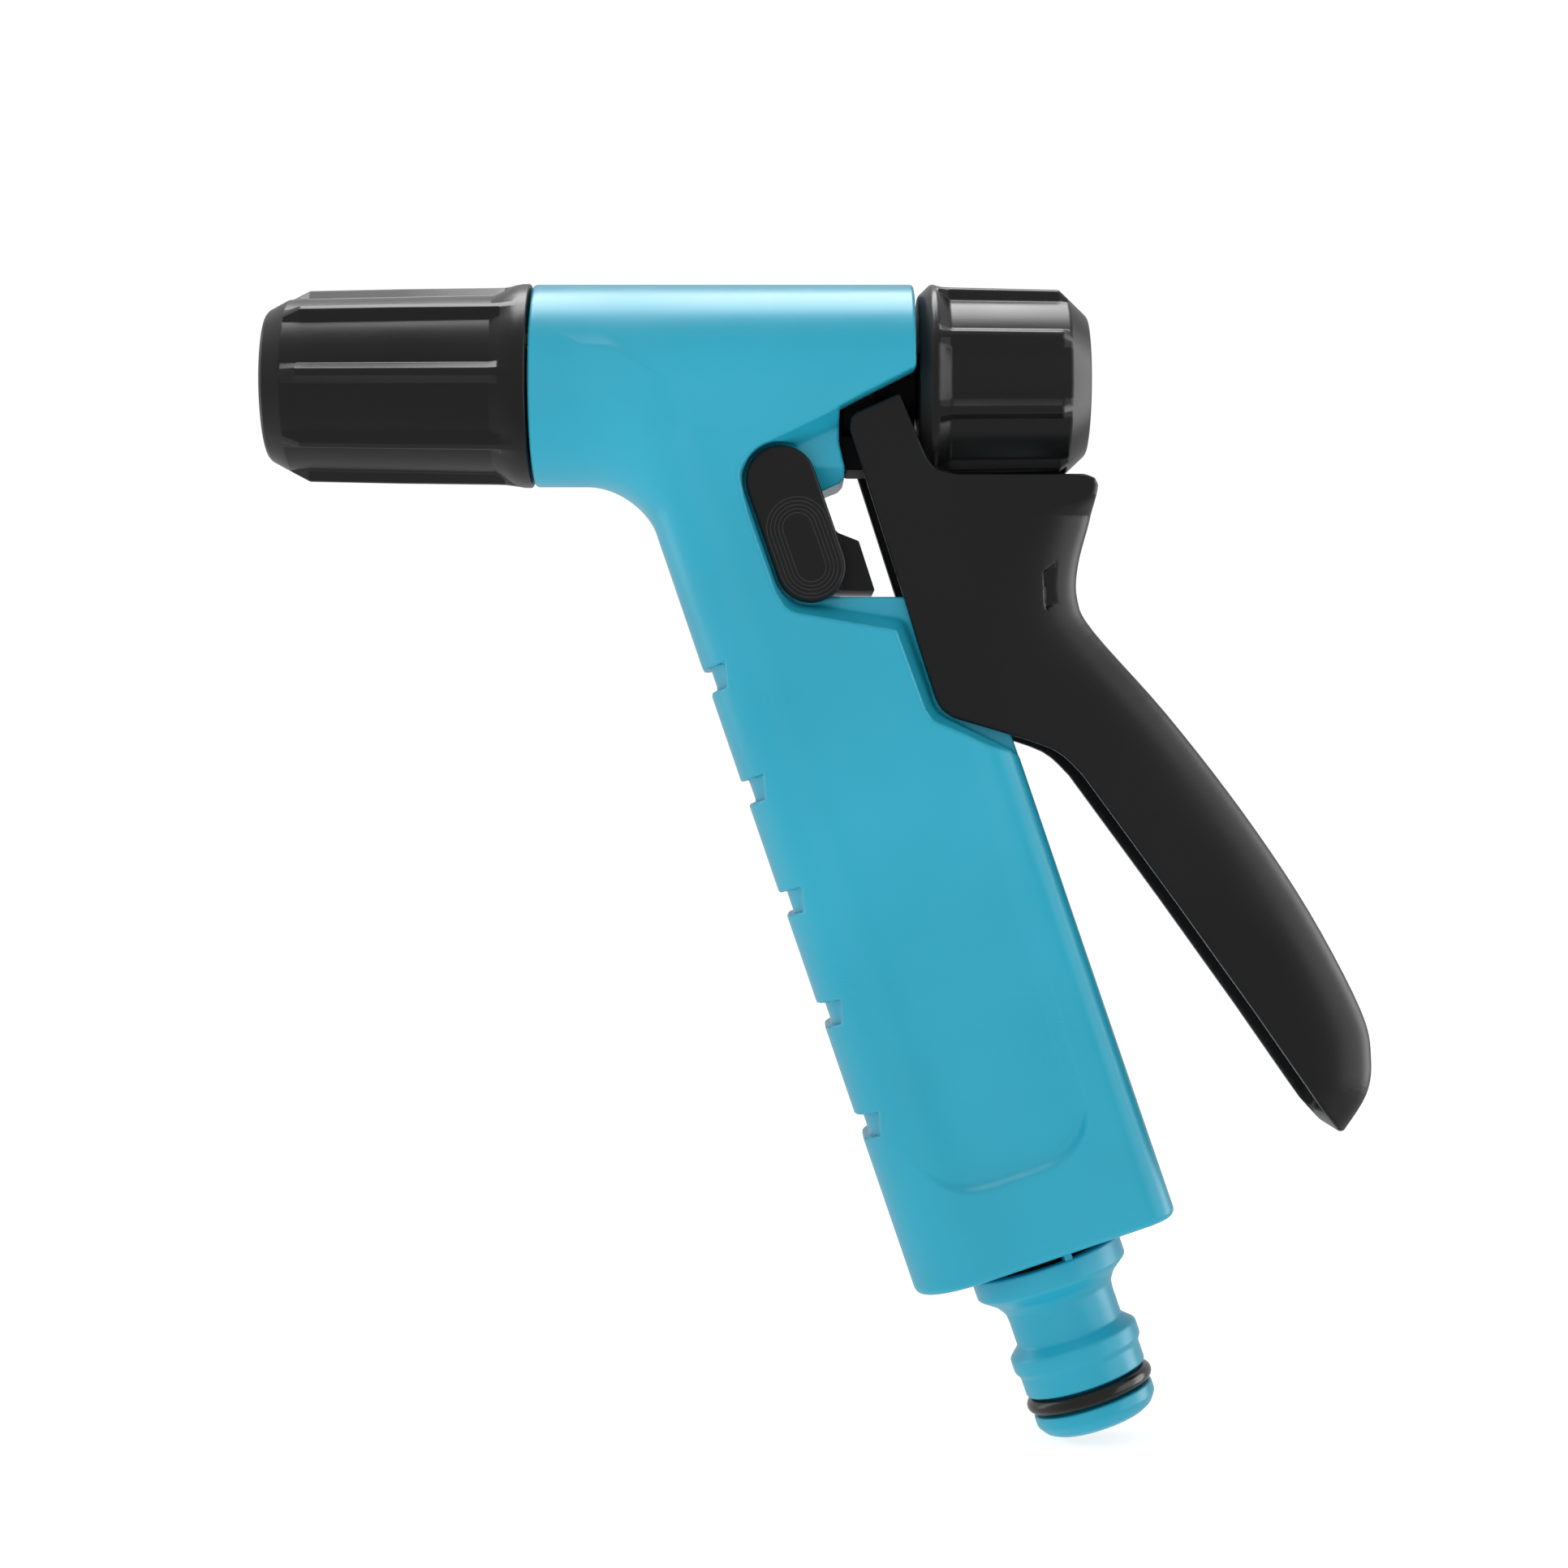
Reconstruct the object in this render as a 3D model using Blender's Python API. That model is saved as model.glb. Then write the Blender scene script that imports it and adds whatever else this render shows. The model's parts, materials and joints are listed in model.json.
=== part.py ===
"""Garden hose spray nozzle, built as the assembly it is: a pistol-grip body with a valve line
through its barrel, a squeeze lever, a hold-open latch, a twist spray head, a rear flow knob and
a click-on hose nipple. Lengths below are millimetres; the objects are in metres, +Z up.

The barrel runs along X with the spray leaving towards -X. Drawing coordinates have their origin
on the barrel's axis at its rear face; MIDDLE moves the middle of the whole object to the world
origin."""

import math

import bmesh
import bpy
from mathutils import Vector

MM = 0.001
MIDDLE = Vector((-12.415, 0.0, -61.245))

# Barrel and what is on its axis
BARREL_R = 13.0
BARREL_FRONT = -48.8
CHAMBER_R = 7.6
HOOD_BORE_R = 8.5
BRACKET_X = -9.6
GAP = 0.3

# Grip: a rounded section pushed along a leaning axis, measured from its foot
FOOT = Vector((16.7, 0.0, -111.4))
DOWN = Vector((0.3239, 0.0, -0.9461))
BACK = Vector((0.9461, 0.0, 0.3239))
GRIP_HALF_DEPTH = 17.2
GRIP_HALF_WIDTH = 12.4
GRIP_FRONT_ROUND = 9.0
GRIP_REAR_ROUND = 3.9
GRIP_TOP_Z = -1.2
GRIP_BORE_R = 8.0
GROOVE_PITCH = 15.0
GROOVE_FIRST = 23.0
GROOVE_HEIGHT = 3.0
GROOVE_DEPTH = 1.0
GROOVE_REACH = 2.4

# Web that carries the lever and the latch
WEB_HALF = 8.1
LEVER_PIVOT = (6.2, -38.4)
LATCH_PIVOT = (-17.0, -13.15)
LATCH_LOWER = (-13.2, -24.1)
LATCH_CAP_R = 4.43

# Lever
LEVER_HALF = 10.3
LEVER_INNER = 8.5
SPINE = 2.2
SLOT_FLOOR = 9.2

# Spray head and knob
RIBS = 8
HEAD_RIB_ANGLE = 1.2
KNOB_RIB_ANGLE = 23.9

BLUE = (0.024, 0.37, 0.52)
BLACK = (0.016, 0.016, 0.017)
RUBBER = (0.03, 0.028, 0.024)
BRASS = (0.78, 0.57, 0.27)
STEEL = (0.62, 0.63, 0.64)


def clear_scene():
    for thing in list(bpy.data.objects):
        bpy.data.objects.remove(thing)


def finish(thing, colour, roughness, metallic=0.0):
    """Gives one object its own material."""
    material = bpy.data.materials.new(thing.name)
    material.use_nodes = True
    shader = material.node_tree.nodes["Principled BSDF"]
    shader.inputs["Base Color"].default_value = (*colour, 1.0)
    shader.inputs["Roughness"].default_value = roughness
    shader.inputs["Metallic"].default_value = metallic
    thing.data.materials.append(material)
    return thing


def add_mesh(name, points, faces, origin=(0.0, 0.0, 0.0), smooth=True):
    """An object from drawing points, with its own origin on a drawing point."""
    base = Vector(origin)
    mesh = bpy.data.meshes.new(name)
    mesh.from_pydata([(Vector(p) - base) * MM for p in points], [], faces)
    body = bmesh.new()
    body.from_mesh(mesh)
    bmesh.ops.recalc_face_normals(body, faces=body.faces)
    bmesh.ops.triangulate(body, faces=body.faces)
    body.to_mesh(mesh)
    body.free()
    if smooth:
        mesh.shade_smooth()
        mesh.set_sharp_from_angle(angle=math.radians(32))
    thing = bpy.data.objects.new(name, mesh)
    thing.location = (base - MIDDLE) * MM
    bpy.context.collection.objects.link(thing)
    return thing


def as_cutter(thing):
    thing.hide_render = True
    thing.display_type = "WIRE"
    return thing


def boolean(target, tool, operation):
    step = target.modifiers.new(tool.name, "BOOLEAN")
    step.operation = operation
    step.solver = "EXACT"
    step.object = as_cutter(tool)


def cut(target, *tools):
    for tool in tools:
        boolean(target, tool, "DIFFERENCE")


def fuse(target, *tools):
    for tool in tools:
        boolean(target, tool, "UNION")


def ring_mesh(rings, closed):
    """Points and faces of a stack of equal rings, joined end to end or capped."""
    count = len(rings[0])
    points = [p for ring in rings for p in ring]
    faces = []
    for row in range(len(rings) if closed else len(rings) - 1):
        here = row * count
        there = (row + 1) % len(rings) * count
        for i in range(count):
            j = (i + 1) % count
            faces.append((here + i, here + j, there + j, there + i))
    if not closed:
        faces.append(tuple(range(count)))
        faces.append(tuple(range(len(points) - count, len(points))))
    return points, faces


def turned(name, profile, start=(0.0, 0.0, 0.0), along="X", segments=48, origin=None):
    """A turned solid: profile is (distance along the axis, radius). It is a closed loop, or a
    line from end to end when its ends are flat discs, given by a last point of radius 0."""
    axis, side, other = {
        "X": (Vector((1, 0, 0)), Vector((0, 1, 0)), Vector((0, 0, 1))),
        "Y": (Vector((0, 1, 0)), Vector((1, 0, 0)), Vector((0, 0, 1))),
        "GRIP": (DOWN, Vector((0, 1, 0)), BACK),
    }[along]
    base = Vector(start)
    solid = profile[0][1] == 0.0
    rings = []
    for distance, radius in profile:
        if radius == 0.0:
            continue
        ring = []
        for i in range(segments):
            angle = 2 * math.pi * i / segments
            out = side * math.cos(angle) + other * math.sin(angle)
            ring.append(base + axis * distance + out * radius)
        rings.append(ring)
    points, faces = ring_mesh(rings, closed=not solid)
    return add_mesh(name, points, faces, origin or start)


def disc_stack(*steps):
    """The profile of a solid turned piece from (distance, radius) pairs."""
    return [(steps[0][0], 0.0), *steps, (steps[-1][0], 0.0)]


def torus_profile(distance, ring_r, section_r, sides=8):
    loop = []
    for i in range(sides):
        angle = 2 * math.pi * (i + 0.5) / sides
        loop.append((distance + section_r * math.cos(angle), ring_r + section_r * math.sin(angle)))
    return loop


def prism(name, outline, low, high, origin=None):
    """An (x, z) outline pushed across from y = low to y = high."""
    rings = [[Vector((x, y, z)) for x, z in outline] for y in (low, high)]
    points, faces = ring_mesh(rings, closed=False)
    return add_mesh(name, points, faces, origin or (0.0, 0.0, 0.0), smooth=False)


def curve_through(points, steps=4):
    """A smooth line through the points given."""
    ends = [points[0], *points, points[-1]]
    line = []
    for i in range(1, len(ends) - 2):
        p0, p1, p2, p3 = (Vector(p) for p in ends[i - 1 : i + 3])
        for k in range(steps):
            t = k / steps
            a = p1 * 2
            b = (p2 - p0) * t
            c = (p0 * 2 - p1 * 5 + p2 * 4 - p3) * t * t
            d = (p1 * 3 - p0 - p2 * 3 + p3) * t**3
            line.append(tuple((a + b + c + d) * 0.5))
    line.append(tuple(points[-1]))
    return line


def arc(centre, radius, first, last, steps=6):
    """Points of an arc in the (x, z) plane, angles in degrees."""
    line = []
    for i in range(steps + 1):
        angle = math.radians(first + (last - first) * i / steps)
        line.append((centre[0] + radius * math.cos(angle), centre[1] + radius * math.sin(angle)))
    return line


def shifted(line, distance):
    """The line moved sideways, to its left when the distance is positive."""
    moved = []
    for i, point in enumerate(line):
        before = Vector(line[max(i - 1, 0)])
        after = Vector(line[min(i + 1, len(line) - 1)])
        run = (after - before).normalized()
        moved.append((point[0] - run.y * distance, point[1] + run.x * distance))
    return moved


def stadium(a, b, radius, steps=8):
    """The outline of a bar with round ends."""
    lean = math.degrees(math.atan2(b[1] - a[1], b[0] - a[0]))
    return arc(a, radius, lean + 90, lean + 270, steps) + arc(b, radius, lean - 90, lean + 90, steps)


# Body of the nozzle


def grip_section(inset, steps=6):
    """The grip's section, as (towards the back, across) pairs."""
    depth = GRIP_HALF_DEPTH - inset
    width = GRIP_HALF_WIDTH - inset
    front = GRIP_FRONT_ROUND - inset
    rear = GRIP_REAR_ROUND - inset * 0.6
    corners = (
        (depth - rear, width - rear, rear, 0),
        (front - depth, width - front, front, 90),
        (front - depth, front - width, front, 180),
        (depth - rear, rear - width, rear, 270),
    )
    loop = []
    for u, v, radius, first in corners:
        loop += arc((u, v), radius, first, first + 90, steps)
    return loop


def grip_ring(height, inset):
    """The section standing on the grip's axis, this far above the foot."""
    ring = []
    for u, v in grip_section(inset):
        ring.append(FOOT - DOWN * height + BACK * u + Vector((0, v, 0)))
    return ring


def level_top(point):
    """The point slid along the grip's axis to the level where the grip ends in the barrel."""
    return point - DOWN * ((GRIP_TOP_Z - point.z) / -DOWN.z)


def make_grip():
    foot_round = 1.2
    rings = []
    for i in range(5):
        angle = math.radians(90 * i / 4)
        inset = foot_round * (1 - math.sin(angle))
        rings.append(grip_ring(foot_round * (1 - math.cos(angle)), inset))
    rings.append([level_top(point) for point in grip_ring(80.0, 0.0)])
    points, faces = ring_mesh(rings, closed=False)
    return add_mesh("grip_form", points, faces)


def make_throat():
    """The web of material that eases the barrel into the front of the grip."""
    outline = [(-41.5, -12.4), *curve_through([(-38.6, -13.9), (-35.6, -16.3), (-33.6, -19.4)], 3)]
    outline += [(-26.0, -30.0), (-22.0, -8.0), (-40.0, -6.0)]
    return prism("throat_form", outline, -6.4, 6.4)


def recess_line():
    """Outer edge of the cut-back side, from the hood round to the back of the grip."""
    line = [(2.0, 1.76), (-9.6, -4.1), (-17.6, -7.7)]
    line += curve_through([(-20.35, -9.2), (-22.4, -12.2), (-21.4, -17.5)], 3)
    line += [(-17.9, -27.4)]
    line += curve_through([(-16.8, -29.1), (-15.6, -30.0), (-13.9, -30.4)], 2)
    line += [(-2.7, -32.3), (0.87, -42.1)]
    line += curve_through([(1.9, -43.6), (3.6, -44.4), (8.2, -46.3)], 2)
    line += [(13.8, -48.6)]
    return line


def make_recess():
    """Both sloping side cuts as one tool."""
    beyond = [(34.0, -48.6), (34.0, 1.76)]
    floor = shifted(recess_line(), 0.5) + beyond
    rim = shifted(recess_line(), -0.2) + beyond
    points = []
    faces = []
    for side in (-1, 1):
        rings = [[Vector((x, side * WEB_HALF, z)) for x, z in floor]]
        rings.append([Vector((x, side * 15.0, z)) for x, z in rim])
        more, sides = ring_mesh(rings, closed=False)
        faces += [tuple(i + len(points) for i in face) for face in sides]
        points += more
    return add_mesh("recess_tool", points, faces, smooth=False)


def make_rear_gap():
    """The opening right through the body: under the hood, round the bracket, and the window."""
    outline = [(4.0, 2.77), (BRACKET_X, -4.1), (BRACKET_X, -8.2), (-8.9, -11.2), (-8.9, -12.4)]
    outline += [(-9.6, -13.2), (-11.7, -14.1), (-14.4, -15.4), (-15.0, -16.8), (-12.5, -27.7)]
    outline += [(34.0, -27.7), (34.0, 2.77)]
    return prism("rear_gap_tool", outline, -16.0, 16.0)


def make_grooves():
    """Five finger grooves round the front of the grip."""
    reach = GRIP_HALF_DEPTH - GROOVE_REACH
    floor = [(u, v) for u, v in grip_section(GROOVE_DEPTH, 10) if u < -reach]
    loop = [(-reach, floor[0][1] + 0.7), *floor, (-reach, floor[-1][1] - 0.7)]
    loop += [(-reach, -15.0), (-22.0, -15.0), (-22.0, 15.0), (-reach, 15.0)]
    points = []
    faces = []
    for i in range(5):
        middle = GROOVE_FIRST + GROOVE_PITCH * i
        rings = []
        for height in (middle - GROOVE_HEIGHT / 2, middle + GROOVE_HEIGHT / 2):
            rings.append([FOOT - DOWN * height + BACK * u + Vector((0, v, 0)) for u, v in loop])
        more, sides = ring_mesh(rings, closed=False)
        faces += [tuple(k + len(points) for k in face) for face in sides]
        points += more
    return add_mesh("groove_tool", points, faces, smooth=False)


def make_cheeks():
    """Shallow flat panels in the sides of the grip, ending in an arc above the foot."""
    arch = curve_through([(21.0, -94.5), (17.5, -99.5), (12.4, -101.4), (5.2, -102.0), (0.9, -100.4)], 3)
    outline = [(8.4, -56.0), *arch, (-13.4, -56.0)]
    points = []
    faces = []
    for side in (-1, 1):
        rings = []
        for y in (GRIP_HALF_WIDTH - 0.5, GRIP_HALF_WIDTH + 2.0):
            rings.append([Vector((x, side * y, z)) for x, z in outline])
        more, sides = ring_mesh(rings, closed=False)
        faces += [tuple(k + len(points) for k in face) for face in sides]
        points += more
    return add_mesh("cheek_tool", points, faces, smooth=False)


def make_housing():
    barrel = disc_stack((BARREL_FRONT, BARREL_R - 0.4), (BARREL_FRONT + 0.4, BARREL_R), (-0.5, BARREL_R), (0.0, BARREL_R - 0.5))
    housing = turned("housing", barrel, segments=72)
    fuse(housing, make_grip(), make_throat())
    cut(housing, make_recess())
    chamber = [(BARREL_FRONT - 2, CHAMBER_R), (BRACKET_X + 0.1, CHAMBER_R), (BRACKET_X + 0.1, HOOD_BORE_R), (3.0, HOOD_BORE_R)]
    cut(housing, turned("chamber_tool", disc_stack(*chamber)))
    grip_bore = disc_stack((-82.6, 4.0), (-78.0, GRIP_BORE_R), (4.0, GRIP_BORE_R))
    cut(housing, turned("grip_bore_tool", grip_bore, FOOT, "GRIP", 36))
    passage_top = Vector((-30.6, 0.0, -5.0))
    cut(housing, turned("passage_tool", disc_stack((0.0, 4.6), (52.0, 4.6)), passage_top, "GRIP", 28))
    cut(housing, make_rear_gap(), make_grooves(), make_cheeks())
    for name, (x, z), radius in (("pivot", LEVER_PIVOT, 2.25), ("latch", LATCH_PIVOT, 1.75)):
        bore = disc_stack((-20.0, radius), (20.0, radius))
        cut(housing, turned(name + "_bore_tool", bore, (x, 0.0, z), "Y", 24))
    return finish(housing, BLUE, 0.42)


# Valve line, all on the barrel's axis


def make_bonnet():
    """Plug that closes the rear of the chamber and guides the stem."""
    profile = [
        (-14.0, 7.3), (-12.8, 7.3), (-12.8, 6.2), (-11.0, 6.2), (-11.0, 7.3), (-9.2, 7.3), (-9.2, 8.15),
        (-5.0, 8.15), (-5.0, 4.2), (1.2, 4.2), (1.2, 2.6), (-11.6, 2.6), (-11.6, 4.3), (-14.0, 4.3),
    ]
    bonnet = turned("rear_bonnet", profile, segments=40)
    key = prism("bonnet_key_form", [(-8.5, -11.4), (-5.0, -11.4), (-5.0, -5.0), (-8.5, -5.0)], -5.8, 5.8)
    fuse(bonnet, key)
    finish(bonnet, BLACK, 0.45)
    finish(turned("bonnet_oring", torus_profile(-11.9, 6.85, 0.6), segments=36), RUBBER, 0.5)
    finish(turned("stem_seal", [(-13.7, 2.4), (-13.7, 4.1), (-11.9, 4.1), (-11.9, 2.4)], segments=32), RUBBER, 0.5)


def make_valve():
    seat = [
        (-42.0, 7.35), (-41.0, 7.35), (-41.0, 6.3), (-39.4, 6.3), (-39.4, 7.35), (-38.4, 7.35),
        (-38.4, 5.2), (-38.0, 4.9), (-38.0, 4.3), (-38.4, 3.4), (-42.0, 3.4),
    ]
    finish(turned("valve_seat", seat, segments=40), BRASS, 0.3, 1.0)
    finish(turned("seat_oring", torus_profile(-40.2, 6.9, 0.55), segments=36), RUBBER, 0.5)
    poppet = [
        (-36.4, 5.6), (-33.2, 5.6), (-33.2, 3.7), (-29.6, 3.7), (-29.6, 2.5),
        (-33.0, 2.5), (-33.0, 1.6), (-36.4, 1.6),
    ]
    finish(turned("poppet", poppet, segments=36), BLACK, 0.5)
    seal = [(-37.7, 1.6), (-37.7, 5.3), (-36.7, 5.3), (-36.7, 1.6)]
    finish(turned("poppet_seal", seal, segments=36), RUBBER, 0.6)
    screw = disc_stack((-39.4, 1.9), (-39.0, 2.5), (-38.0, 2.5), (-38.0, 1.3), (-33.4, 1.3))
    screw_body = turned("poppet_screw", screw, segments=24)
    slot = prism("screw_slot_tool", [(-40.0, -0.3), (-38.8, -0.3), (-38.8, 0.3), (-40.0, 0.3)], -4.0, 4.0)
    cut(screw_body, slot)
    finish(screw_body, STEEL, 0.3, 1.0)
    stem = disc_stack(
        (-32.7, 1.9), (-32.4, 2.2), (14.6, 2.2), (14.6, 1.7), (15.6, 1.7), (15.6, 2.2), (16.8, 2.2), (17.2, 1.8)
    )
    finish(turned("valve_stem", stem, segments=28), STEEL, 0.25, 1.0)
    clip = turned("stem_clip", [(14.75, 1.95), (14.75, 3.7), (15.45, 3.7), (15.45, 1.95)], segments=28)
    mouth = prism("clip_mouth_tool", [(14.0, -6.0), (16.5, -6.0), (16.5, -1.0), (14.0, -1.0)], -1.3, 1.3)
    cut(clip, mouth)
    finish(clip, STEEL, 0.3, 1.0)
    make_spring()


def make_spring():
    """Coil that shuts the poppet, between the poppet's flange and the bonnet."""
    first, last, turns, coil_r, wire_r = -32.2, -14.9, 7, 4.65, 0.5
    steps = turns * 16
    rings = []
    for i in range(steps + 1):
        turn = 2 * math.pi * turns * i / steps
        middle = Vector((first + (last - first) * i / steps, coil_r * math.cos(turn), coil_r * math.sin(turn)))
        out = Vector((0, math.cos(turn), math.sin(turn)))
        ring = []
        for k in range(6):
            angle = 2 * math.pi * k / 6
            ring.append(middle + out * wire_r * math.cos(angle) + Vector((wire_r * math.sin(angle), 0, 0)))
        rings.append(ring)
    points, faces = ring_mesh(rings, closed=False)
    finish(add_mesh("valve_spring", points, faces), STEEL, 0.3, 1.0)


# Spray head


def fluted(name, stations, bore, rib_angle, origin):
    """A turned piece with ribs: stations are (x, radius on a rib, radius between ribs) and bore
    is the inside, from the last station's end back to the first."""
    top_half = 2.0
    base_half = 6.8
    period = 360.0 / RIBS
    columns = []
    for rib in range(RIBS):
        middle = rib_angle + period * rib
        columns += [(middle - top_half, 1.0), (middle + top_half, 1.0), (middle + base_half, 0.0)]
        columns += [(middle + period * part, 0.0) for part in (0.28, 0.43, 0.57, 0.72)]
        columns += [(middle + period - base_half, 0.0)]
    rings = []
    for x, on_rib, between in stations:
        ring = []
        for angle, rib in columns:
            radius = on_rib if rib else between
            turn = math.radians(angle)
            ring.append(Vector((x, -radius * math.cos(turn), radius * math.sin(turn))))
        rings.append(ring)
    for x, radius in bore:
        ring = []
        for angle, _ in columns:
            turn = math.radians(angle)
            ring.append(Vector((x, -radius * math.cos(turn), radius * math.sin(turn))))
        rings.append(ring)
    points, faces = ring_mesh(rings, closed=True)
    return add_mesh(name, points, faces, origin)


def make_head():
    core_profile = [
        (-48.0, 4.2), (-42.6, 4.2), (-42.6, 7.3), (-49.1, 7.3), (-49.1, 9.4), (-60.6, 9.4), (-60.6, 8.4),
        (-62.6, 8.4), (-62.6, 9.4), (-64.2, 9.4), (-65.0, 6.4), (-75.0, 6.4), (-78.0, 2.6), (-81.2, 1.9),
    ]
    inside = [(-81.2, 0.8), (-73.0, 0.8), (-72.0, 4.2)]
    core = turned("spray_core", core_profile + inside, segments=44)
    for i, lean in enumerate((0.0, 90.0)):
        port = turned("port_tool_%d" % i, disc_stack((-9.0, 1.8), (9.0, 1.8)), (-69.0, 0.0, 0.0), "Y", 16)
        port.rotation_euler = (math.radians(lean), 0.0, 0.0)
        cut(core, port)
    finish(core, BRASS, 0.3, 1.0)
    finish(turned("spigot_oring", torus_profile(-61.6, 9.2, 0.6), segments=40), RUBBER, 0.5)
    stations = [
        (-49.1, 12.8, 12.8), (-49.4, 13.15, 13.15), (-51.0, 13.05, 13.05), (-52.2, 12.85, 12.8),
        (-55.0, 12.75, 11.6), (-66.0, 12.6, 11.35), (-77.9, 12.35, 11.1), (-80.2, 11.12, 11.08),
        (-82.7, 9.85, 9.85), (-83.1, 9.5, 9.5),
    ]
    bore = [(-83.1, 8.6), (-79.2, 8.6), (-79.2, 9.1), (-68.0, 9.1), (-67.0, 9.95), (-49.1, 9.95)]
    sleeve = fluted("nozzle_sleeve", stations, bore, HEAD_RIB_ANGLE, (-66.0, 0.0, 0.0))
    finish(sleeve, BLACK, 0.4)
    disc = [(-82.4, 2.6), (-82.4, 8.3), (-80.0, 8.3), (-80.0, 4.0), (-80.9, 2.6)]
    finish(turned("spray_disc", disc, segments=40), BLACK, 0.4)


# Flow knob


def make_knob():
    stations = [
        (0.5, 11.2, 11.2), (0.8, 11.6, 11.6), (2.2, 13.1, 13.1), (2.9, 13.0, 13.0), (4.5, 12.9, 11.6),
        (11.5, 12.75, 11.5), (18.5, 12.6, 11.4), (19.7, 11.44, 11.39), (22.1, 9.1, 9.1), (22.4, 8.7, 8.7),
    ]
    bore = [(22.4, 7.9), (20.2, 7.9), (20.2, 8.6), (13.0, 8.6), (13.0, 4.95), (0.5, 4.95)]
    finish(fluted("regulator_knob", stations, bore, KNOB_RIB_ANGLE, (11.5, 0.0, 0.0)), BLACK, 0.4)
    cap = disc_stack((20.5, 6.9), (20.5, 7.6), (22.2, 7.6), (22.6, 5.0), (22.8, 2.0))
    finish(turned("knob_cap", cap, segments=40), BLACK, 0.4)
    nut = [(1.6, 2.5), (1.6, 4.3), (1.9, 4.65), (10.6, 4.65), (10.9, 4.3), (10.9, 2.5)]
    finish(turned("knob_nut", nut, segments=32), BRASS, 0.3, 1.0)


# Hose nipple


def make_nipple():
    profile = [
        (-14.0, 7.3), (-13.4, 7.6), (-9.6, 7.6), (-9.6, 6.6), (-7.4, 6.6), (-7.4, 7.6), (0.35, 7.6),
        (0.35, 9.3), (1.0, 9.3), (1.3, 9.8), (1.5, 10.0), (3.6, 10.0), (3.9, 9.7), (5.4, 8.0), (7.7, 7.05),
        (11.1, 7.05), (12.4, 8.3), (12.7, 8.5), (14.0, 8.5), (14.4, 8.3), (15.2, 8.0), (17.5, 8.0),
        (17.7, 7.8), (17.7, 6.3), (20.3, 6.3), (20.3, 7.7), (20.5, 7.95), (21.8, 7.95), (22.9, 7.2),
        (23.6, 5.9), (23.6, 5.0), (-14.0, 5.0),
    ]
    finish(turned("inlet_nipple", profile, FOOT, "GRIP", 48), BLUE, 0.4)
    finish(turned("nipple_oring", torus_profile(19.0, 7.4, 1.0, 10), FOOT, "GRIP", 44), RUBBER, 0.35)
    finish(turned("inlet_seal_oring", torus_profile(-8.5, 7.2, 0.6), FOOT, "GRIP", 36), RUBBER, 0.5)


# Lever and latch


def lever_back():
    return curve_through(
        [
            (22.6, -17.2), (20.8, -25.6), (22.9, -31.9), (32.2, -42.4), (42.0, -55.0), (50.4, -67.6),
            (57.0, -80.2), (58.3, -86.3), (57.7, -91.0), (54.7, -95.8),
        ],
        4,
    )


def make_lever():
    outline = [(-8.3, -6.7), (-8.2, -5.2), (-7.4, -4.5), (-2.0, -2.1)]
    outline += curve_through([(1.3, -10.0), (2.6, -11.6), (5.3, -12.3)], 3)
    outline += [(21.3, -12.3), (22.5, -12.7), (23.2, -13.7)]
    outline += lever_back()
    outline += [(53.9, -95.6), (51.6, -92.9), (43.0, -80.5), (32.9, -66.4)]
    outline += curve_through([(21.1, -50.3), (17.6, -47.2), (11.2, -45.0)], 3)
    outline += [(4.8, -43.1), (3.5, -42.2), (2.5, -40.6), (0.5, -34.5), (-1.5, -27.9)]
    pivot = (LEVER_PIVOT[0], 0.0, LEVER_PIVOT[1])
    lever = prism("trigger_lever", outline, -LEVER_HALF, LEVER_HALF, pivot)
    inner = shifted(lever_back(), -SPINE)
    hollow = [(34.0, 4.0), (34.0, -14.2), (20.4, -14.2), *inner[:-1]]
    hollow += [(52.0, -94.6), (48.0, -104.0), (-30.0, -60.0), (-30.0, 4.0)]
    cut(lever, prism("channel_tool", hollow, -LEVER_INNER, LEVER_INNER))
    slot = [(18.9, -22.5), (18.4, -28.0), (16.45, -29.3), (16.1, -24.8)]
    for side in (-1, 1):
        near, far = sorted((side * SLOT_FLOOR, side * 20.0))
        cut(lever, prism("slot_tool_%d" % (side + 1), slot, near, far))
    socket = disc_stack((-9.9, 2.25), (9.9, 2.25))
    cut(lever, turned("socket_tool", socket, pivot, "Y", 24))
    rib = [(-0.8, -17.0), (1.0, -16.6), (1.6, -24.6), (0.0, -24.8)]
    fuse(lever, prism("catch_rib_form", rib, -9.0, 9.0))
    finish(lever, BLACK, 0.42)
    pin = disc_stack((-9.6, 1.6), (-9.3, 1.95), (9.3, 1.95), (9.6, 1.6))
    finish(turned("pivot_pin", pin, pivot, "Y", 24), STEEL, 0.25, 1.0)


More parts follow.
